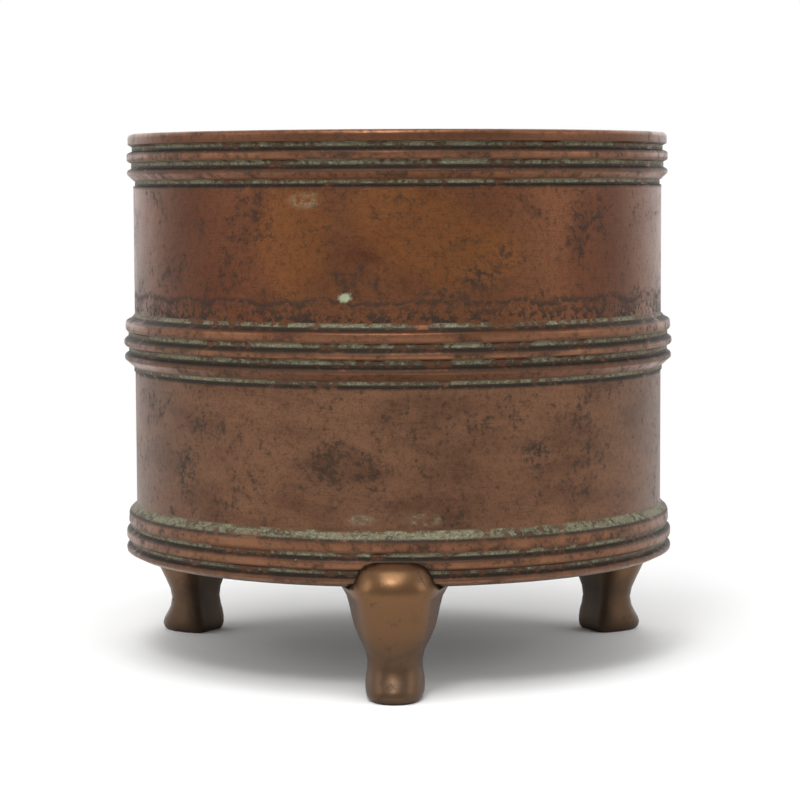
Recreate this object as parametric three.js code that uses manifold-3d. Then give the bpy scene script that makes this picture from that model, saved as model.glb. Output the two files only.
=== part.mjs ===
// A tripod incense burner in patinated bronze. The vessel is a straight drum with three bands of
// turned ribs: at the mouth, round the middle and above the feet. Its floor is a separate disc that
// is dropped in from above on to a ledge and soldered round its edge. The three cabriole feet are
// cast by themselves. Each laps up over the lowest band, bears under the edge of the drum, and runs
// a tang in under the floor, where one rivet holds it.
// Millimetres, +Z up. The origin is the middle of the base of the whole burner's box. The front
// knee stands out further than anything behind, so the drum's axis lies a little behind the origin.

import * as THREE from "three";
import { mergeVertices } from "three/addons/utils/BufferGeometryUtils.js";
import Module from "manifold-3d";

// Vessel
const vesselHeight = 142.5; // ground to the top of the lip
const footHeight = 28.8; // ground to the underside of the drum
const panelRadius = 71.9; // outside of the two plain panels
const wallThickness = 4.7;
const lipRound = 1.1; // radius on both edges of the lip
const middleBandTop = 94.1; // ground to where the middle band springs from the upper panel
const footBandTop = 42.3; // ground to where the lowest band springs from the lower panel

// Floor and its joint
const ledgeWidth = 2.8; // what the drum leaves inside for the floor to sit on
const ledgeHeight = 3.6;
const floorThickness = 4;
const floorClearance = 0.3; // between the disc's edge and the drum
const solderLeg = 1.9; // both legs of the fillet of solder
const jointGap = 0.3; // thickness of the film between pieces that seat on each other

// Feet
const footCount = 3;
const headLap = 6.6; // how far a foot's head rises outside the lowest band
const footWidth = 14.9; // across the pad
const footReach = 7.2; // how far the knee stands outside the lowest band
const tangWidth = 13;
const tangLength = 13.9; // how far a tang reaches in from the ledge, under the floor
const rivetFromTip = 6; // from the tang's tip to the middle of its rivet

// Rivets
const rivetRadius = 2.3;
const rivetHoleClearance = 0.3;
const rivetHeadRadius = 4.6;
const rivetHeadHeight = 2.1;
const rivetTailRadius = 3.5;
const rivetTailHeight = 1.1;

// Facets
const drumSides = 64;
const footRows = 20;
const footSidePoints = 15; // along one flank of a foot, from the middle of its back to its front
const rivetSides = 20;

// The turned bands, each from its top edge down. A rib's reach is how far it stands outside the
// panels. A slant leads in from the panel above, and a chamfer and a sunk fillet lead out below.
const mouthBand = {
  top: vesselHeight,
  ribs: [
    { height: 2.9, reach: 1.4 },
    { height: 2, reach: 1.75 },
    { height: 1, reach: 1.7 },
  ],
  grooves: [
    { height: 2.3, depth: 1.25 },
    { height: 2.6, depth: 1.05 },
  ],
  chamfer: { height: 1.6, reach: -0.1 },
  fillet: { height: 1.6, depth: 0.35 },
};
const middleBand = {
  top: middleBandTop,
  slant: { height: 2, hollow: 0.35 },
  ribs: [
    { height: 2.4, reach: 2.6 },
    { height: 1.6, reach: 2.95 },
    { height: 1.1, reach: 2.8 },
  ],
  grooves: [
    { height: 2.4, depth: 1.3 },
    { height: 2.6, depth: 1.4 },
  ],
  chamfer: { height: 2.1, reach: 0.5 },
  fillet: { height: 1.5, depth: -0.25 },
};
const footBand = {
  top: footBandTop,
  slant: { height: 1.7, hollow: 0.25 },
  ribs: [
    { height: 3.2, reach: 2.25 },
    { height: 2.3, reach: 2.8 },
    { height: 1, reach: 2.9 },
  ],
  grooves: [
    { height: 1.7, depth: 1 },
    { height: 2.3, depth: 1.2 },
  ],
  chamfer: { height: 1.3, reach: 1.2 },
};

const bandRadius = panelRadius + Math.max(...footBand.ribs.map((rib) => rib.reach));
const innerRadius = panelRadius - wallThickness;
const ledgeRadius = innerRadius - ledgeWidth;
const ledgeTop = footHeight + ledgeHeight;
const floorBottom = ledgeTop + jointGap;
const floorTop = floorBottom + floorThickness;
const floorRadius = innerRadius - floorClearance;
const tangTop = floorBottom - jointGap;
const tangInnerRadius = ledgeRadius - tangLength;
const rivetCircle = tangInnerRadius + rivetFromTip; // distance of the rivets from the axis

// One flank of a foot's outline seen from above, from the middle of its back to its front: the
// share of the depth, then the share of the half width. The head has shoulders behind its knee.
const ankleFlank = [
  [0, 0],
  [0, 0.5],
  [0.02, 0.84],
  [0.12, 0.98],
  [0.35, 1],
  [0.62, 0.93],
  [0.84, 0.7],
  [0.96, 0.38],
  [1, 0],
];
const headFlank = [
  [0, 0],
  [0, 0.5],
  [0.02, 0.9],
  [0.14, 1],
  [0.36, 0.93],
  [0.62, 0.82],
  [0.84, 0.66],
  [0.96, 0.38],
  [1, 0],
];

// The foot from its sole up to the drum's underside. Heights are shares of the foot's height, back
// and front are millimetres from the lowest band's radius, width is a share of the pad's, and head
// is how far the outline has turned from the ankle's to the head's.
const legStations = [
  { height: 0, back: -11.2, front: 3, width: 0.84, head: 0 },
  { height: 0.03, back: -11.7, front: 4, width: 0.95, head: 0 },
  { height: 0.09, back: -11.8, front: 4.1, width: 1, head: 0 },
  { height: 0.17, back: -11.5, front: 2.6, width: 1, head: 0 },
  { height: 0.3, back: -10.6, front: 0.8, width: 0.93, head: 0 },
  { height: 0.4, back: -10.5, front: 1, width: 0.97, head: 0.1 },
  { height: 0.52, back: -11, front: 2.2, width: 1.2, head: 0.3 },
  { height: 0.64, back: -11.6, front: 3.9, width: 1.4, head: 0.6 },
  { height: 0.78, back: -12.6, front: 6, width: 1.53, head: 0.9 },
  { height: 0.9, back: -13.8, front: 7.1, width: 1.66, head: 1 },
  { height: 0.96, back: -14.6, front: footReach, width: 1.76, head: 1 },
  { height: 1, back: -15, front: footReach, width: 1.95, head: 1 },
];
// The head above the drum's underside, where heights are shares of its lap over the lowest band.
const headStations = [
  { height: 0.2, back: -15, front: 0.95 * footReach, width: 1.72, head: 1 },
  { height: 0.5, back: -15, front: 0.8 * footReach, width: 1.62, head: 1 },
  { height: 0.76, back: -15, front: 0.58 * footReach, width: 1.5, head: 1 },
  { height: 0.92, back: -15, front: 0.35 * footReach, width: 1.4, head: 1 },
  { height: 1, back: -15, front: 0.16 * footReach, width: 1.3, head: 1 },
];

const bronze = new THREE.MeshStandardMaterial({ color: 0x6e4a34, roughness: 0.42, metalness: 0.85 });
const darkBronze = new THREE.MeshStandardMaterial({ color: 0x4a3426, roughness: 0.55, metalness: 0.8 });
const footBronze = new THREE.MeshStandardMaterial({ color: 0x664832, roughness: 0.38, metalness: 0.85 });
const rivetBronze = new THREE.MeshStandardMaterial({ color: 0x5a4130, roughness: 0.5, metalness: 0.85 });
const solder = new THREE.MeshStandardMaterial({ color: 0x6f6e69, roughness: 0.6, metalness: 0.7 });

const wasm = await Module();
wasm.setup();

// A closed geometry as a solid that can be cut.
function solidOf(geometry) {
  const bare = geometry.clone();
  bare.deleteAttribute("normal");
  bare.deleteAttribute("uv");
  const merged = mergeVertices(bare, 1e-4);
  return new wasm.Manifold(
    new wasm.Mesh({
      numProp: 3,
      vertProperties: new Float32Array(merged.attributes.position.array),
      triVerts: new Uint32Array(merged.index.array),
    }),
  );
}

function geometryOf(solid) {
  const mesh = solid.getMesh();
  const geometry = new THREE.BufferGeometry();
  geometry.setAttribute("position", new THREE.BufferAttribute(mesh.vertProperties, mesh.numProp));
  geometry.setIndex(new THREE.BufferAttribute(mesh.triVerts, 1));
  geometry.computeVertexNormals();
  return geometry;
}

// A closed profile of [radius, height] points turned about the upright axis.
function turned(profile, sides) {
  const points = profile.map(([radius, height]) => new THREE.Vector2(radius, height));
  if (profile[0][0] > 0) points.push(points[0].clone());
  return new THREE.LatheGeometry(points, sides).rotateX(Math.PI / 2);
}

// The outline of one band, from the bottom up.
function bandOutline(band) {
  const crown = 0.16; // how much the middle of a rib stands outside its edges
  const down = [];
  let height = band.top;
  if (band.slant) {
    const { slant } = band;
    const reach = band.ribs[0].reach;
    down.push([panelRadius, height]);
    down.push([panelRadius + reach / 2 - slant.hollow, height - slant.height * 0.6]);
    height -= slant.height;
  }
  band.ribs.forEach((rib, i) => {
    const radius = panelRadius + rib.reach;
    if (i === 0 && !band.slant) {
      down.push([radius - lipRound, height]);
      down.push([radius - lipRound * (1 - Math.SQRT1_2), height - lipRound * (1 - Math.SQRT1_2)]);
      down.push([radius, height - lipRound]);
    } else {
      down.push([radius - crown, height]);
      down.push([radius, height - rib.height / 2]);
    }
    height -= rib.height;
    down.push([radius - crown, height]);
    const groove = band.grooves[i];
    if (groove) {
      down.push([radius - groove.depth, height - groove.height * 0.38]);
      down.push([radius - groove.depth, height - groove.height * 0.62]);
      height -= groove.height;
    }
  });
  height -= band.chamfer.height;
  down.push([panelRadius + band.chamfer.reach, height]);
  if (band.fillet) {
    const sunk = panelRadius - band.fillet.depth;
    down.push([sunk, height - band.fillet.height * 0.2]);
    down.push([sunk, height - band.fillet.height * 0.8]);
    down.push([panelRadius, height - band.fillet.height]);
  }
  return down.reverse();
}

function makeDrum() {
  const innerTop = vesselHeight - lipRound;
  const profile = [
    [ledgeRadius, footHeight],
    ...bandOutline({ ...footBand, chamfer: footBandChamfer() }),
    ...bandOutline(middleBand),
    ...bandOutline(mouthBand),
    [innerRadius + lipRound, vesselHeight],
    [innerRadius + lipRound * (1 - Math.SQRT1_2), vesselHeight - lipRound * (1 - Math.SQRT1_2)],
    [innerRadius, innerTop],
    [innerRadius, ledgeTop],
    [ledgeRadius, ledgeTop],
  ];
  return turned(profile, drumSides);
}

// The lowest band's chamfer takes up whatever height its ribs and grooves leave above the ground edge.
function footBandChamfer() {
  const taken = footBand.slant.height + sum(footBand.ribs) + sum(footBand.grooves);
  return { reach: footBand.chamfer.reach, height: footBandTop - taken - footHeight };
}

function sum(rings) {
  return rings.reduce((total, ring) => total + ring.height, 0);
}

function makeFloor(rivetPlaces) {
  let floor = solidOf(
    turned([[0, floorBottom], [floorRadius, floorBottom], [floorRadius, floorTop], [0, floorTop]], drumSides),
  );
  for (const [x, y] of rivetPlaces) {
    floor = floor.subtract(solidOf(upright(rivetRadius + rivetHoleClearance, ledgeTop, floorTop + 1, x, y)));
  }
  return geometryOf(floor);
}

function makeSolderSeam() {
  const outer = innerRadius - jointGap;
  const low = floorTop + jointGap;
  const hollow = 0.45 * solderLeg; // how far the fillet's face stands from its corner
  const section = [
    [outer - solderLeg, low],
    [outer, low],
    [outer, low + solderLeg],
    [outer - hollow, low + hollow],
  ];
  return turned(section, drumSides);
}

// A cylinder from one height to another, centred on x and y.
function upright(radius, low, high, x, y) {
  const cylinder = new THREE.CylinderGeometry(radius, radius, high - low, rivetSides);
  return cylinder.rotateX(Math.PI / 2).translate(x, y, (low + high) / 2);
}

// The value of one column of the stations at a height, on a smooth curve through them.
function smooth(heights, values) {
  const curve = new THREE.CubicInterpolant(heights, values, 1);
  return (height) => curve.evaluate(height)[0];
}

// The points of half an outline, at even steps along a smooth curve through it.
function flankPoints(flank) {
  const corners = flank.map(([u, v]) => new THREE.Vector3(u, v, 0));
  const curve = new THREE.CatmullRomCurve3(corners, false, "centripetal");
  return Array.from({ length: footSidePoints }, (_, i) => curve.getPoint(i / (footSidePoints - 1)));
}

// The body of a foot that points along -Y, before it is fitted to the vessel.
function footBody() {
  const stations = [
    ...legStations.map((s) => ({ ...s, z: s.height * footHeight })),
    ...headStations.map((s) => ({ ...s, z: footHeight + s.height * headLap })),
  ];
  const heights = stations.map((s) => s.z);
  const back = smooth(heights, stations.map((s) => bandRadius + s.back));
  const front = smooth(heights, stations.map((s) => bandRadius + s.front));
  const halfWidth = smooth(heights, stations.map((s) => (s.width * footWidth) / 2));
  const head = smooth(heights, stations.map((s) => s.head));
  const ankle = flankPoints(ankleFlank);
  const shoulder = flankPoints(headFlank);

  const rows = [];
  const top = footHeight + headLap;
  for (let row = 0; row <= footRows; row++) {
    // Rows crowd towards the sole and the crown of the head, where the outline turns fastest.
    const z = (top * (1 - Math.cos((Math.PI * row) / footRows))) / 2;
    const turn = THREE.MathUtils.clamp(head(z), 0, 1);
    const place = (i, side) => {
      const u = THREE.MathUtils.lerp(ankle[i].x, shoulder[i].x, turn);
      const v = THREE.MathUtils.lerp(ankle[i].y, shoulder[i].y, turn);
      return [side * v * halfWidth(z), -THREE.MathUtils.lerp(back(z), front(z), u), z];
    };
    const ring = [];
    for (let i = 0; i < footSidePoints; i++) ring.push(place(i, 1));
    for (let i = footSidePoints - 2; i > 0; i--) ring.push(place(i, -1));
    rows.push(ring);
  }
  return lofted(rows);
}

// A closed skin over rings of points, lowest ring first, with a flat cap on each end.
function lofted(rows) {
  const around = rows[0].length;
  const positions = rows.flat(2);
  const index = [];
  for (let row = 0; row + 1 < rows.length; row++) {
    for (let i = 0; i < around; i++) {
      const next = (i + 1) % around;
      const [a, b] = [row * around + i, row * around + next];
      const [c, d] = [a + around, b + around];
      index.push(a, d, b, a, c, d);
    }
  }
  for (const [row, turn] of [[0, 1], [rows.length - 1, -1]]) {
    const centre = positions.length / 3;
    const sum = rows[row].reduce((s, p) => [s[0] + p[0], s[1] + p[1], s[2] + p[2]], [0, 0, 0]);
    positions.push(...sum.map((v) => v / around));
    for (let i = 0; i < around; i++) {
      const edge = [row * around + i, row * around + ((i + 1) % around)];
      if (turn < 0) edge.reverse();
      index.push(centre, ...edge);
    }
  }
  const geometry = new THREE.BufferGeometry();
  geometry.setAttribute("position", new THREE.Float32BufferAttribute(positions, 3));
  geometry.setIndex(index);
  return geometry;
}

// The space that the drum and its floor take from a foot, with the joint's gap round it.
function vesselSpace() {
  const high = footHeight + 3 * headLap;
  const chamfer = footBandChamfer();
  const seat = footHeight - jointGap;
  return solidOf(
    turned(
      [
        [ledgeRadius - jointGap, seat],
        [panelRadius + chamfer.reach + jointGap, seat],
        [bandRadius + jointGap, footHeight + chamfer.height - jointGap],
        [bandRadius + jointGap, high],
        [ledgeRadius - jointGap, high],
      ],
      drumSides,
    ),
  );
}

function makeFoot() {
  const tangBottom = footHeight - jointGap;
  const tang = new THREE.BoxGeometry(tangWidth, tangLength, tangTop - tangBottom + 1);
  tang.translate(0, -(ledgeRadius + tangInnerRadius) / 2, (tangTop + tangBottom - 1) / 2);
  const underFloor = new THREE.BoxGeometry(4 * footWidth, 2 * ledgeRadius, 4 * headLap);
  underFloor.translate(0, 0, tangTop + 2 * headLap);
  const hole = upright(rivetRadius + rivetHoleClearance, 0, vesselHeight, 0, -rivetCircle);
  const body = solidOf(footBody());
  return geometryOf(
    body
      .subtract(vesselSpace())
      .subtract(solidOf(underFloor))
      .add(solidOf(tang).subtract(vesselSpace()))
      .subtract(solidOf(hole)),
  );
}

function makeRivet() {
  const seat = floorTop + jointGap;
  const tailSeat = footHeight - 1 - 2 * jointGap;
  const profile = [
    [0, tailSeat - rivetTailHeight],
    [0.7 * rivetTailRadius, tailSeat - 0.75 * rivetTailHeight],
    [rivetTailRadius, tailSeat],
    [rivetRadius, tailSeat],
    [rivetRadius, seat],
    [rivetHeadRadius, seat],
  ];
  const domeSteps = 5;
  for (let step = 1; step <= domeSteps; step++) {
    const angle = (step / domeSteps) * (Math.PI / 2);
    const radius = step === domeSteps ? 0 : rivetHeadRadius * Math.cos(angle);
    profile.push([radius, seat + rivetHeadHeight * Math.sin(angle)]);
  }
  return turned(profile, rivetSides);
}

function mesh(name, geometry, material, turn = 0) {
  const made = new THREE.Mesh(geometry, material);
  made.name = name;
  made.rotation.z = turn;
  return made;
}

const footNames = ["front", "rear_right", "rear_left"];
const footTurns = footNames.map((_, i) => (i * 2 * Math.PI) / footCount);
const rivetPlaces = footTurns.map((turn) => [rivetCircle * Math.sin(turn), -rivetCircle * Math.cos(turn)]);

const incenseBurner = new THREE.Group();
incenseBurner.position.y = footReach / 2; // from the drum's axis to the middle of the box
incenseBurner.add(mesh("drum_wall", makeDrum(), bronze));
incenseBurner.add(mesh("floor_disc", makeFloor(rivetPlaces), darkBronze));
incenseBurner.add(mesh("floor_solder_seam", makeSolderSeam(), solder));
footNames.forEach((name, i) => {
  incenseBurner.add(mesh(`foot_${name}`, makeFoot(), footBronze, footTurns[i]));
  const rivet = mesh(`rivet_${name}`, makeRivet().translate(0, -rivetCircle, 0), rivetBronze, footTurns[i]);
  incenseBurner.add(rivet);
});

export default incenseBurner;
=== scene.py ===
# A tripod incense burner in brown patinated bronze, standing on a pale studio floor.
# Lengths in the dictionaries are millimetres, measured up from the floor or out from the axis.
import math

import bmesh
import bpy
from mathutils import Matrix, Vector


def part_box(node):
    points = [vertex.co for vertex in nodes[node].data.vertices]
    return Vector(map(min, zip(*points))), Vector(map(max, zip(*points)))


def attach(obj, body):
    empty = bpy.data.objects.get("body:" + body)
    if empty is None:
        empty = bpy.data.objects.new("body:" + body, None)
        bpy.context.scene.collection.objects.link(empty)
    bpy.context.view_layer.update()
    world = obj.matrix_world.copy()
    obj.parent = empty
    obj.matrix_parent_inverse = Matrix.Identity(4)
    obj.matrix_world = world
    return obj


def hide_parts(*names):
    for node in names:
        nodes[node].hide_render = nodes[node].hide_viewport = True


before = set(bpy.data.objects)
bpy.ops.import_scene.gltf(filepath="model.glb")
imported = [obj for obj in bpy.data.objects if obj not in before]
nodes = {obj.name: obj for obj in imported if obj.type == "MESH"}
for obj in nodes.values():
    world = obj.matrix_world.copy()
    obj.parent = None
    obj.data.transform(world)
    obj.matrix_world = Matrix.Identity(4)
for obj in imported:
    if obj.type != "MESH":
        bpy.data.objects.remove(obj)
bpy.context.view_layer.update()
mm = 0.001
drumLow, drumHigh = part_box("drum_wall")
axisY = (drumLow[1] + drumHigh[1]) / 2 / mm  # where the drum's axis stands, in millimetres
bpy.context.scene.view_settings.view_transform = "Standard"


# Camera

camera = {
    "distance": 720,  # from the axis, level with the floor
    "height": 129.5,
    "aside": 0.5,
    "turn": 0.87,  # degrees round the axis, towards the right
    "pitchDown": 0.083,  # radians
    "roll": -0.004,  # radians
    "lens": 118.0,
    "sensor": 36.0,
}


def makeCamera():
    data = bpy.data.cameras.new("camera")
    data.lens = camera["lens"]
    data.sensor_width = camera["sensor"]
    data.clip_start = 0.01
    data.clip_end = 50
    item = bpy.data.objects.new("camera", data)
    bpy.context.collection.objects.link(item)
    place = Vector((camera["aside"], -camera["distance"], camera["height"])) * mm
    item.matrix_world = (
        Matrix.Translation((0, axisY * mm, 0))
        @ Matrix.Rotation(math.radians(camera["turn"]), 4, "Z")
        @ Matrix.Translation(place)
        @ Matrix.Rotation(math.pi / 2 - camera["pitchDown"], 4, "X")
        @ Matrix.Rotation(camera["roll"], 4, "Z")
    )
    bpy.context.scene.camera = item


makeCamera()
print("camera placed")


# Shader maths


class Wire:
    # One output of a node. Plain arithmetic on it adds Math nodes.
    def __init__(self, paint, socket):
        self.paint = paint
        self.socket = socket

    def math(self, operation, *others):
        node = self.paint.add("Math", {"operation": operation}, dict(enumerate((self, *others))))
        return Wire(self.paint, node.outputs[0])

    def __add__(self, other):
        return self.math("ADD", other)

    def __sub__(self, other):
        return self.math("SUBTRACT", other)

    def __rsub__(self, other):
        node = self.paint.add("Math", {"operation": "SUBTRACT"}, {0: other, 1: self})
        return Wire(self.paint, node.outputs[0])

    def __mul__(self, other):
        return self.math("MULTIPLY", other)

    def __truediv__(self, other):
        return self.math("DIVIDE", other)

    __radd__ = __add__
    __rmul__ = __mul__

    def abs(self):
        return self.math("ABSOLUTE")

    def orMore(self, other):
        return self.math("MAXIMUM", other)

    def between(self, low, high):
        # 0 at low and 1 at high, with a soft start and end. low may be the larger one.
        if low > high:
            return 1 - self.between(high, low)
        inputs = {"Value": self, "From Min": low, "From Max": high}
        node = self.paint.add("MapRange", {"interpolation_type": "SMOOTHSTEP"}, inputs)
        return Wire(self.paint, node.outputs["Result"])


class Paint:
    # One material, or the world, and the nodes in it.
    def __init__(self, name, holder=None):
        self.holder = holder or bpy.data.materials.new(name)
        self.holder.use_nodes = True
        self.tree = self.holder.node_tree
        self.tree.nodes.clear()

    def add(self, kind, settings=None, inputs=None):
        node = self.tree.nodes.new("ShaderNode" + kind)
        for key, value in (settings or {}).items():
            setattr(node, key, value)
        for key, value in (inputs or {}).items():
            if isinstance(value, Wire):
                self.tree.links.new(value.socket, node.inputs[key])
            elif value is not None:
                node.inputs[key].default_value = value
        return node

    def out(self, node, name=0):
        return Wire(self, node.outputs[name])

    def mix(self, factor, first, second):
        inputs = {0: factor, 6: asColour(first), 7: asColour(second)}
        return Wire(self, self.add("Mix", {"data_type": "RGBA"}, inputs).outputs[2])

    def place(self):
        # Object coordinates in millimetres, then the height, the distance from the drum's axis and
        # the way round it in radians, 0 at the front.
        coordinates = self.add("TexCoord").outputs["Object"]
        inputs = {0: Wire(self, coordinates), "Scale": 1 / mm}
        scaled = self.add("VectorMath", {"operation": "SCALE"}, inputs)
        point = Wire(self, scaled.outputs[0])
        split = self.add("SeparateXYZ", {}, {0: point})
        x, y, z = (Wire(self, output) for output in split.outputs)
        y = y - axisY
        radius = (x * x + y * y).math("SQRT")
        around = x.math("ARCTAN2", 0 - y)
        return point, z, radius, around

    def noise(self, point, size, detail, rough, stretch=(1, 1, 1), seed=(0, 0, 0), warp=0.0):
        # A cloud pattern whose features are about size millimetres across, from 0 to 1.
        scale = [share / size for share in stretch]
        placing = {"Vector": point, "Location": seed, "Scale": scale}
        mapping = self.add("Mapping", {"vector_type": "POINT"}, placing)
        inputs = {"Vector": Wire(self, mapping.outputs[0]), "Scale": 1.0, "Detail": detail}
        inputs.update({"Roughness": rough, "Distortion": warp})
        return Wire(self, self.add("TexNoise", {}, inputs).outputs[0])

    def surface(self, colour, metallic, roughness, height, relief):
        # relief is how deep the height's full range reads, in millimetres.
        bump = {"Height": height, "Strength": 1.0, "Distance": relief * mm}
        inputs = {"Base Color": colour, "Metallic": metallic, "Roughness": roughness}
        inputs["Specular IOR Level"] = dirtGloss
        inputs["Normal"] = Wire(self, self.add("Bump", {}, bump).outputs[0])
        shader = self.add("BsdfPrincipled", {}, inputs)
        self.add("OutputMaterial", {}, {"Surface": Wire(self, shader.outputs[0])})
        return self.holder


dirtGloss = 0.25  # how far soot and verdigris shine, which is less than most things do


def asColour(value):
    return value if isinstance(value, Wire) else (*value, 1.0)


def fromScreen(red, green, blue):
    # A colour as it is seen on a screen, 0 to 255, as the shader's linear values.
    def straight(channel):
        share = channel / 255
        return share / 12.92 if share < 0.04045 else ((share + 0.055) / 1.055) ** 2.4

    return tuple(straight(channel) for channel in (red, green, blue))


# Drum

drum = {
    "panelRadius": 71.9,
    "innerRadius": 67.2,
    "ledgeRadius": 64.4,
    "bottom": 28.8,
    "ledgeTop": 32.4,
    "top": drumHigh[2] / mm,
    "steps": 224,  # faces round the drum
    "lipRound": 1.15,
    "ribRound": 0.55,
    "edgeRound": 0.22,
}

# The outside from the bottom edge up: height, how far it stands outside the panels, and which
# rounding its corner gets.
drumOutline = [
    (28.8, 0.5, "edge"),
    (29.9, 2.75, "edge"),
    (30.9, 2.95, "rib"),
    (31.5, 1.75, "edge"),
    (32.8, 1.7, "edge"),
    (33.3, 2.8, "rib"),
    (35.5, 2.8, "rib"),
    (36.0, 1.75, "edge"),
    (37.1, 1.8, "edge"),
    (37.5, 2.2, "rib"),
    (40.5, 2.05, "rib"),
    (41.7, 0.75, "edge"),
    (42.5, 0.0, "edge"),
    (78.5, 0.0, "edge"),
    (78.7, 0.32, "edge"),
    (79.9, 0.32, "edge"),
    (80.1, 0.6, "edge"),
    (82.0, 2.75, "edge"),
    (83.1, 2.85, "rib"),
    (83.7, 1.7, "edge"),
    (85.2, 1.65, "edge"),
    (85.8, 2.95, "rib"),
    (87.3, 2.95, "rib"),
    (88.0, 1.8, "edge"),
    (89.3, 1.75, "edge"),
    (89.9, 2.55, "rib"),
    (92.2, 2.5, "rib"),
    (93.0, 0.9, "edge"),
    (94.1, 0.0, "edge"),
    (128.5, 0.0, "edge"),
    (128.7, -0.45, "edge"),
    (129.9, -0.45, "edge"),
    (130.1, -0.05, "edge"),
    (131.7, 1.65, "edge"),
    (132.7, 1.7, "rib"),
    (133.3, 0.55, "edge"),
    (134.7, 0.5, "edge"),
    (135.3, 1.75, "rib"),
    (137.3, 1.75, "rib"),
    (137.9, 0.3, "edge"),
    (139.1, 0.3, "edge"),
    (139.7, 1.4, "edge"),
    (drum["top"], 1.4, "lip"),
]

# Where verdigris and soot lie, with painted shade in their lower part: the height of each hollow's
# middle, and half its height.
hollows = [
    (32.15, 1.0), (36.55, 0.95), (41.7, 1.25), (79.3, 0.95), (84.45, 1.3), (88.6, 1.2), (93.6, 1.0),
    (129.3, 0.95), (134.0, 1.25), (138.5, 1.15),
]
# Where the crests of the ribs and the lip's top are painted brighter, in patches: painted
# highlight.
sheenCrests = [
    (29.6, 0.9), (34.4, 1.0), (39.0, 1.4), (81.2, 1.1), (86.5, 0.8), (91.1, 1.1), (131.2, 1.0),
    (136.3, 0.9), (142.0, 0.7),
]


def finishMesh(bm, name, crease=40):
    mesh = bpy.data.meshes.new(name)
    bm.to_mesh(mesh)
    bm.free()
    mesh.polygons.foreach_set("use_smooth", [True] * len(mesh.polygons))
    mesh.set_sharp_from_angle(angle=math.radians(crease))
    item = bpy.data.objects.new(name, mesh)
    bpy.context.collection.objects.link(item)
    return item


def dress(item, node, material):
    item.data.materials.clear()
    item.data.materials.append(material)
    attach(item, "root")
    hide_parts(node)


def spinProfile(points, rounds, steps):
    # points are (radius, height) in millimetres, in order round the section. rounds is one rounding
    # for each of them. The section is filled, its corners are rounded, and then it is spun.
    bm = bmesh.new()
    corners = [bm.verts.new((0.0, (axisY - radius) * mm, height * mm)) for radius, height in points]
    bm.faces.new(corners)
    for size in sorted(set(rounds) - {0}, reverse=True):
        chosen = [corner for corner, rounding in zip(corners, rounds) if rounding == size]
        bmesh.ops.bevel(
            bm, geom=chosen, offset=size * mm, offset_type="OFFSET", segments=4, profile=0.5,
            affect="VERTICES", clamp_overlap=True, material=-1,
        )
    bmesh.ops.delete(bm, geom=bm.faces[:], context="FACES_ONLY")
    bmesh.ops.spin(
        bm, geom=bm.verts[:] + bm.edges[:], cent=(0, axisY * mm, 0), axis=(0, 0, 1),
        angle=2 * math.pi, steps=steps, use_merge=True, use_duplicate=False,
    )
    bmesh.ops.remove_doubles(bm, verts=bm.verts[:], dist=0.001 * mm)
    bmesh.ops.recalc_face_normals(bm, faces=bm.faces[:])
    return bm


def makeDrum(material):
    rounding = {"edge": drum["edgeRound"], "rib": drum["ribRound"], "lip": drum["lipRound"]}
    points = [(drum["ledgeRadius"], drum["bottom"])]
    rounds = [drum["edgeRound"]]
    for height, reach, kind in drumOutline:
        points.append((drum["panelRadius"] + reach, height))
        rounds.append(rounding[kind])
    points += [
        (drum["innerRadius"], drum["top"]),
        (drum["innerRadius"], drum["ledgeTop"]),
        (drum["ledgeRadius"], drum["ledgeTop"]),
    ]
    rounds += [drum["lipRound"], 0, drum["edgeRound"]]
    item = finishMesh(spinProfile(points, rounds, drum["steps"]), "drum")
    dress(item, "drum_wall", material)


# Patina of the drum

patina = {
    "upperPanel": fromScreen(106, 68, 46),
    "upperWarm": fromScreen(128, 80, 42),
    "upperDark": fromScreen(84, 48, 32),
    "lowerPanel": fromScreen(112, 80, 60),
    "lowerDark": fromScreen(92, 64, 48),
    "bands": fromScreen(94, 63, 46),
    "paintedSheen": fromScreen(142, 100, 74),
    "soot": fromScreen(26, 23, 17),
    "verdigris": fromScreen(112, 106, 84),
    "paleVerdigris": fromScreen(140, 148, 122),
    "inside": fromScreen(58, 48, 38),
    "ash": fromScreen(120, 114, 102),
}

# Marks on the drum: way round in millimetres from the front, height, half width, half height.
marks = {
    "warm": [(3, 118, 15, 12), (18, 112, 14, 8), (-26, 116, 12, 14)],
    "greenish": [(-22, 125, 5, 2.4), (-8, 45.5, 4, 1.6), (8, 45.5, 6, 1.8)],
    "sooty": [(22, 127, 5, 2.4), (-61, 55, 5, 9), (38, 61, 6, 5), (22, 106, 8, 5), (30, 111, 6, 4),
              (13, 101, 9, 3)],
    "shade": [(-54, 112, 22, 24), (-40, 60, 16, 18), (60, 110, 14, 20)],
    "fleck": [(-12, 101, 1.9, 1.2)],
}


def patch(paint, around, z, spots, edge):
    # 1 inside the ellipses and 0 outside, with a ragged border where edge is a noise.
    total = None
    for way, height, halfWidth, halfHeight in spots:
        across = (around * drum["panelRadius"] - way) / halfWidth
        up = (z - height) / halfHeight
        spot = ((across * across + up * up).math("SQRT") + edge).between(1.15, 0.55)
        total = spot if total is None else total.orMore(spot)
    return total


def rings(z, places, grow=1.0, lift=0.0):
    # 1 in the middle of each ring and 0 past its edges.
    total = None
    for height, half in places:
        ring = (z - (height + lift * half)).abs().between(half * grow, half * grow * 0.35)
        total = ring if total is None else total.orMore(ring)
    return total


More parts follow.
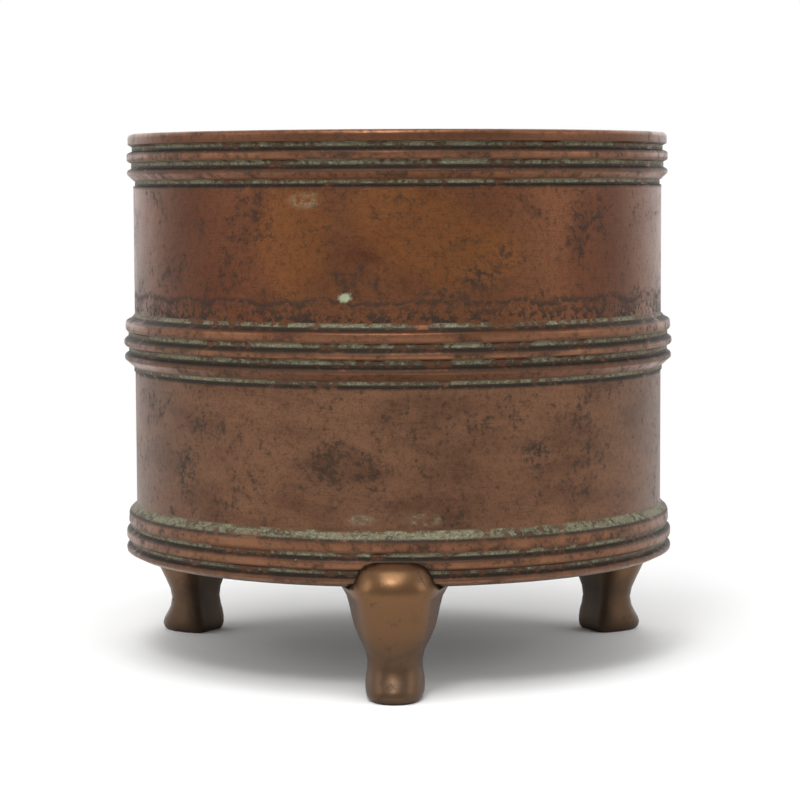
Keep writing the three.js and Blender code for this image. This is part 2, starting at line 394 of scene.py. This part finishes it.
def drumPatina():
    paint = Paint("drumPatina")
    point, z, radius, around = paint.place()
    cloud = paint.noise(point, 34, 5, 0.6, warp=0.4)
    blotch = paint.noise(point, 11, 6, 0.66, seed=(3, 8, 1), warp=0.6)
    streak = paint.noise(point, 22, 5, 0.6, stretch=(1, 1, 2.6), seed=(9, 2, 5))
    fine = paint.noise(point, 1.6, 5, 0.7, seed=(1, 7, 4))
    grain = paint.noise(point, 0.5, 3, 0.6, seed=(6, 6, 2))
    lathe = paint.noise(point, 7, 3, 0.5, stretch=(1, 1, 20), seed=(2, 2, 2))
    edge = (blotch - 0.5) * 1.5 + (fine - 0.5) * 1.1

    # Panels
    upper = paint.mix(cloud.between(0.42, 0.72), patina["upperPanel"], patina["upperDark"])
    warm = patch(paint, around, z, marks["warm"], (cloud - 0.5) * 2.2)
    upper = paint.mix(warm * 0.5, upper, patina["upperWarm"])
    shade = patch(paint, around, z, marks["shade"], (cloud - 0.5) * 2.0)
    upper = paint.mix(shade * 0.6, upper, patina["upperDark"])
    lower = paint.mix(streak.between(0.36, 0.7), patina["lowerPanel"], patina["lowerDark"])
    colour = paint.mix(z.between(80, 86), lower, upper)
    colour = paint.mix(blotch.between(0.5, 0.78) * 0.4, colour, patina["soot"])
    colour = paint.mix(lathe.between(0.56, 0.72) * 0.2, colour, patina["soot"])
    pepper = (fine * 0.5 + grain * 0.5).between(0.42, 0.62)
    colour = paint.mix(pepper * 0.34, colour, patina["soot"])

    # Bands
    inBand = rings(z, [(35.4, 7.6), (86.2, 8.6), (136, 8.4)], 1.0)
    colour = paint.mix(inBand * 0.8, colour, patina["bands"])
    # Brighter patches on the rib crests and the lip's top: painted highlight.
    crestSheen = rings(z, sheenCrests, 1.0) * (blotch + fine * 0.5).between(0.95, 0.55)
    colour = paint.mix(crestSheen * 0.55, colour, patina["paintedSheen"])

    # Soot: small specks, denser in streaks and above the middle band. The lower part of hollows is
    # darkened with soot and painted shade.
    tide = z + (blotch - 0.5) * 9 + (fine - 0.5) * 2.5
    tideLine = (tide - 99.6).abs().between(1.3, 0.2) * (blotch + fine).between(0.8, 1.0)
    belowTide = tide.between(101, 96) * z.between(93, 94.5)
    mottle = belowTide * (fine * 0.65 + blotch * 0.35).between(0.46, 0.54)
    sparse = (fine * 0.6 + blotch * 0.4).between(0.54, 0.61)
    sooty = patch(paint, around, z, marks["sooty"], edge)
    sooty = sooty * (fine + blotch * 0.6).between(0.72, 0.92)
    sootAndShade = (tideLine * 0.7).orMore(mottle * 0.8).orMore(sparse * 0.5).orMore(sooty * 0.8)
    # The dark lower part of each hollow, whose wall faces up: soot and painted shade.
    hollowSootAndShade = rings(z, hollows, 1.5, -0.3) * (blotch * 0.5 + fine * 0.5).between(0.36, 0.5)
    bandDirt = inBand * (fine * 0.55 + blotch * 0.45).between(0.49, 0.6)
    sootAndShade = sootAndShade.orMore(hollowSootAndShade * 0.9).orMore(bandDirt * 0.65)
    colour = paint.mix(sootAndShade, colour, patina["soot"])

    # Verdigris: the upper part of hollows, with gaps, and a few patches on the panels
    green = rings(z, hollows, 0.72, 0.42) * (blotch * 0.5 + fine * 0.5).between(0.42, 0.56)
    greenish = patch(paint, around, z, marks["greenish"], edge)
    green = green.orMore(greenish * fine.between(0.4, 0.6) * 0.55)
    cove = (z - 41.6).abs().between(1.1, 0.4) * (streak * 0.4 + fine * 0.6).between(0.4, 0.54)
    green = green.orMore(cove)
    green = green.orMore(inBand * (fine * 0.7 + grain * 0.3).between(0.6, 0.68) * 0.5)
    colour = paint.mix(green * 0.8, colour, patina["verdigris"])
    pale = green * grain.between(0.5, 0.62)
    fleck = patch(paint, around, z, marks["fleck"], (fine - 0.5) * 1.6)
    colour = paint.mix((pale * 0.55).orMore(fleck * 0.9), colour, patina["paleVerdigris"])

    # Inside: dark, with a bloom of ash low down. The underside gets the same dark colour as painted
    # shade.
    inner = radius.between(68.4, 67.6) * z.between(drum["top"] - 0.1, drum["top"] - 1.5)
    bloom = z.between(78, 38) * (cloud * 0.5 + fine * 0.5).between(0.38, 0.6) * 0.5
    hollowColour = paint.mix(blotch, patina["inside"], patina["soot"])
    hollowColour = paint.mix(bloom, hollowColour, patina["ash"])
    # The drum's underside and lowest edge, darkened: painted shade.
    underShade = z.between(29.4, 28.9)
    colour = paint.mix(inner.orMore(underShade * 0.6), colour, hollowColour)

    dull = sootAndShade.orMore(green).orMore(inner).orMore(fleck)
    metallic = 0.82 - dull * 0.62
    roughness = 0.4 + (blotch - 0.5) * 0.16 + dull * 0.26 - crestSheen * 0.08
    height = lathe * 0.5 + fine * 0.5 + grain * 0.25 + green * 0.8 - sootAndShade * 0.3
    return paint.surface(colour, metallic, roughness, height, 0.09)


makeDrum(drumPatina())
print("drum made")


# Feet

feet = {
    # The knee and ankle tones below are painted reflections, not two patinas.
    "knee": fromScreen(106, 78, 54),
    "ankle": fromScreen(88, 68, 52),
    "dark": fromScreen(48, 38, 28),
    "pale": fromScreen(150, 140, 116),
    "crease": 34,  # degrees
}


def footPatina():
    paint = Paint("footPatina")
    point, z, radius, _ = paint.place()
    cloud = paint.noise(point, 14, 5, 0.6, warp=0.5)
    blotch = paint.noise(point, 4.5, 6, 0.66, seed=(5, 1, 3))
    fine = paint.noise(point, 1.2, 5, 0.7, seed=(8, 3, 1))
    grain = paint.noise(point, 0.4, 3, 0.6)
    # Golden-brown on the knee and greyer below it, changing with height: painted reflection.
    colour = paint.mix(z.between(11, 20), feet["ankle"], feet["knee"])
    colour = paint.mix(cloud.between(0.45, 0.75) * 0.55, colour, feet["dark"])
    # Dark specks are dirt. The back of the leg under the drum and the bottom 1.6 mm are darkened as
    # painted shade.
    backShade = radius.between(69, 64)
    dirtAndShade = (fine * 0.5 + blotch * 0.5).between(0.54, 0.64) * 0.55
    dirtAndShade = dirtAndShade.orMore(backShade * 0.55).orMore(z.between(1.6, 0.2) * 0.6)
    # Dirt and verdigris in the joint where the head meets the band
    joint = (radius - (z - 28.8) * 0.12).between(76.6, 75.3) * z.between(27.5, 29.5)
    colour = paint.mix(dirtAndShade.orMore(joint * 0.75), colour, feet["dark"])
    speck = (fine * 0.6 + grain * 0.4).between(0.6, 0.68) * (0.25 + joint * 0.5)
    colour = paint.mix(speck, colour, feet["pale"])
    metallic = 0.85 - dirtAndShade * 0.5 - speck * 0.4
    roughness = 0.33 + (cloud - 0.5) * 0.12 + dirtAndShade * 0.22 + speck * 0.2 + z.between(16, 8) * 0.08
    return paint.surface(colour, metallic, roughness, fine * 0.6 + grain * 0.3, 0.05)


def smoothCopy(node, name, crease):
    # A CAD node's own shape with its loose triangles joined, so that it can be shaded smooth.
    bm = bmesh.new()
    bm.from_mesh(nodes[node].data)
    bmesh.ops.remove_doubles(bm, verts=bm.verts[:], dist=0.004 * mm)
    bmesh.ops.dissolve_degenerate(bm, dist=0.002 * mm, edges=bm.edges[:])
    return finishMesh(bm, name, crease)


places = ["front", "rear_right", "rear_left"]
footMaterial = footPatina()
for place in places:
    foot = smoothCopy(f"foot_{place}", f"foot.{place}", feet["crease"])
    dress(foot, f"foot_{place}", footMaterial)
print("feet made")


# Floor of the vessel, its solder and the rivets

inside = {
    "floor": fromScreen(72, 58, 44),
    "soot": fromScreen(34, 30, 24),
    "ash": fromScreen(140, 134, 122),
    "solder": fromScreen(112, 110, 104),
    "solderDark": fromScreen(60, 58, 52),
    "rivet": fromScreen(92, 68, 46),
    "rivetCrease": 50,  # degrees
    "seamInner": 65.0,
    "seamOuter": 66.9,
    "seamBottom": 37.0,
    "seamTop": 38.85,
    "seamHollow": 0.2,  # how far the fillet's face sinks towards its corner
    "seamRounds": [0.1, 0, 0.1, 0.4],
    "seamSteps": 160,
}


def insideMaterial(name, main, dark, light, metallic, roughness, size):
    paint = Paint(name)
    point = paint.place()[0]
    cloud = paint.noise(point, size, 6, 0.65, warp=0.6)
    fine = paint.noise(point, 1.4, 5, 0.7, seed=(4, 4, 9))
    colour = paint.mix(cloud.between(0.38, 0.66), main, dark)
    powder = (cloud * 0.4 + fine * 0.6).between(0.52, 0.62) * 0.6
    colour = paint.mix(powder, colour, light)
    return paint.surface(
        colour, metallic - powder * metallic, roughness + powder * 0.25, fine + cloud * 0.6, 0.12
    )


def makeSeam(material):
    points = [
        (inside["seamInner"], inside["seamBottom"]),
        (inside["seamOuter"], inside["seamBottom"]),
        (inside["seamOuter"], inside["seamTop"]),
        (
            (inside["seamInner"] + inside["seamOuter"]) / 2 + inside["seamHollow"],
            (inside["seamBottom"] + inside["seamTop"]) / 2 - inside["seamHollow"],
        ),
    ]
    bm = spinProfile(points, inside["seamRounds"], inside["seamSteps"])
    item = finishMesh(bm, "solderSeam")
    dress(item, "floor_solder_seam", material)


floorMaterial = insideMaterial(
    "vesselFloor", inside["floor"], inside["soot"], inside["ash"], 0.6, 0.55, 18
)
nodes["floor_disc"].data.materials.clear()
nodes["floor_disc"].data.materials.append(floorMaterial)
makeSeam(
    insideMaterial("solder", inside["solder"], inside["solderDark"], inside["ash"], 0.8, 0.5, 6)
)
rivetMaterial = insideMaterial(
    "rivetBronze", inside["rivet"], inside["soot"], inside["ash"], 0.8, 0.42, 5
)
for place in places:
    rivet = smoothCopy(f"rivet_{place}", f"rivet.{place}", inside["rivetCrease"])
    dress(rivet, f"rivet_{place}", rivetMaterial)
print("inside made")


# Studio

studio = {
    "floorSize": 6.0,  # metres
    "floorColour": (0.93, 0.93, 0.93),
    "ambient": 0.8,
    "sweep": 1.0,  # what metal sees at the sides, behind and below
    "rear": 1.9,  # what it sees past the object, which washes out the sides of the drum
    "front": 0.5,  # what it sees towards the camera
    "shadowReach": (0.13, 0.3),  # metres from the axis over which the floor turns plain white
    "topSize": 0.7,
    "topPlace": (-0.05, -0.55, 1.05),
    "topWatts": 6.0,
    "sideSize": 0.5,
    "sideWatts": 1.6,
    "leftPlace": (-0.9, -0.35, 0.45),
    "rightPlace": (0.9, -0.3, 0.45),
    "stripSize": 0.16,
    "stripWatts": 1.6,
    "stripPlace": (-0.1, -0.62, 0.62),
}


def makeFloor():
    paint = Paint("studioFloor")
    half = studio["floorSize"] / 2
    bm = bmesh.new()
    bmesh.ops.create_grid(bm, x_segments=1, y_segments=1, size=half)
    item = finishMesh(bm, "studioFloor")
    item.data.materials.append(paint.holder)
    radius = paint.place()[2]
    near, far = (reach / mm for reach in studio["shadowReach"])
    plain = radius.between(near, far) * paint.out(paint.add("LightPath"), "Is Camera Ray")
    matt = paint.add("BsdfDiffuse", {}, {"Color": asColour(studio["floorColour"])})
    white = paint.add("Emission", {}, {"Color": (1.0, 1.0, 1.0, 1.0), "Strength": 1.0})
    both = paint.add("MixShader", {}, {0: plain, 1: paint.out(matt), 2: paint.out(white)})
    paint.add("OutputMaterial", {}, {"Surface": paint.out(both)})


def makeWorld():
    world = bpy.data.worlds.new("studio")
    bpy.context.scene.world = world
    paint = Paint("studio", world)
    path = paint.add("LightPath")
    seen = paint.out(path, "Is Camera Ray").orMore(paint.out(path, "Is Transmission Ray"))
    shiny = paint.out(path, "Is Glossy Ray")
    way = paint.add("SeparateXYZ", {}, {0: paint.out(paint.add("TexCoord"), "Generated")})
    towards = paint.out(way, 1)
    sweep = studio["sweep"] - towards.between(0.1, -0.75) * (studio["sweep"] - studio["front"])
    sweep = sweep + towards.between(0.2, 0.9) * (studio["rear"] - studio["sweep"])
    level = studio["ambient"] * (1 - shiny) + sweep * shiny
    level = level * (1 - seen) + seen
    background = paint.add("Background", {}, {"Color": (1.0, 1.0, 1.0, 1.0), "Strength": level})
    paint.add("OutputWorld", {}, {"Surface": paint.out(background)})


def makeLight(name, place, size, watts):
    data = bpy.data.lights.new(name, "AREA")
    data.shape = "RECTANGLE"
    data.size = size
    data.size_y = size
    data.energy = watts
    item = bpy.data.objects.new(name, data)
    bpy.context.collection.objects.link(item)
    aim = Vector((0, 0, 0.07)) - Vector(place)
    turn = aim.to_track_quat("-Z", "Y").to_matrix().to_4x4()
    item.matrix_world = Matrix.Translation(place) @ turn


makeFloor()
makeWorld()
makeLight("topLight", studio["topPlace"], studio["topSize"], studio["topWatts"])
makeLight("stripLight", studio["stripPlace"], studio["stripSize"], studio["stripWatts"])
makeLight("leftLight", studio["leftPlace"], studio["sideSize"], studio["sideWatts"])
makeLight("rightLight", studio["rightPlace"], studio["sideSize"], studio["sideWatts"])
print("studio made")
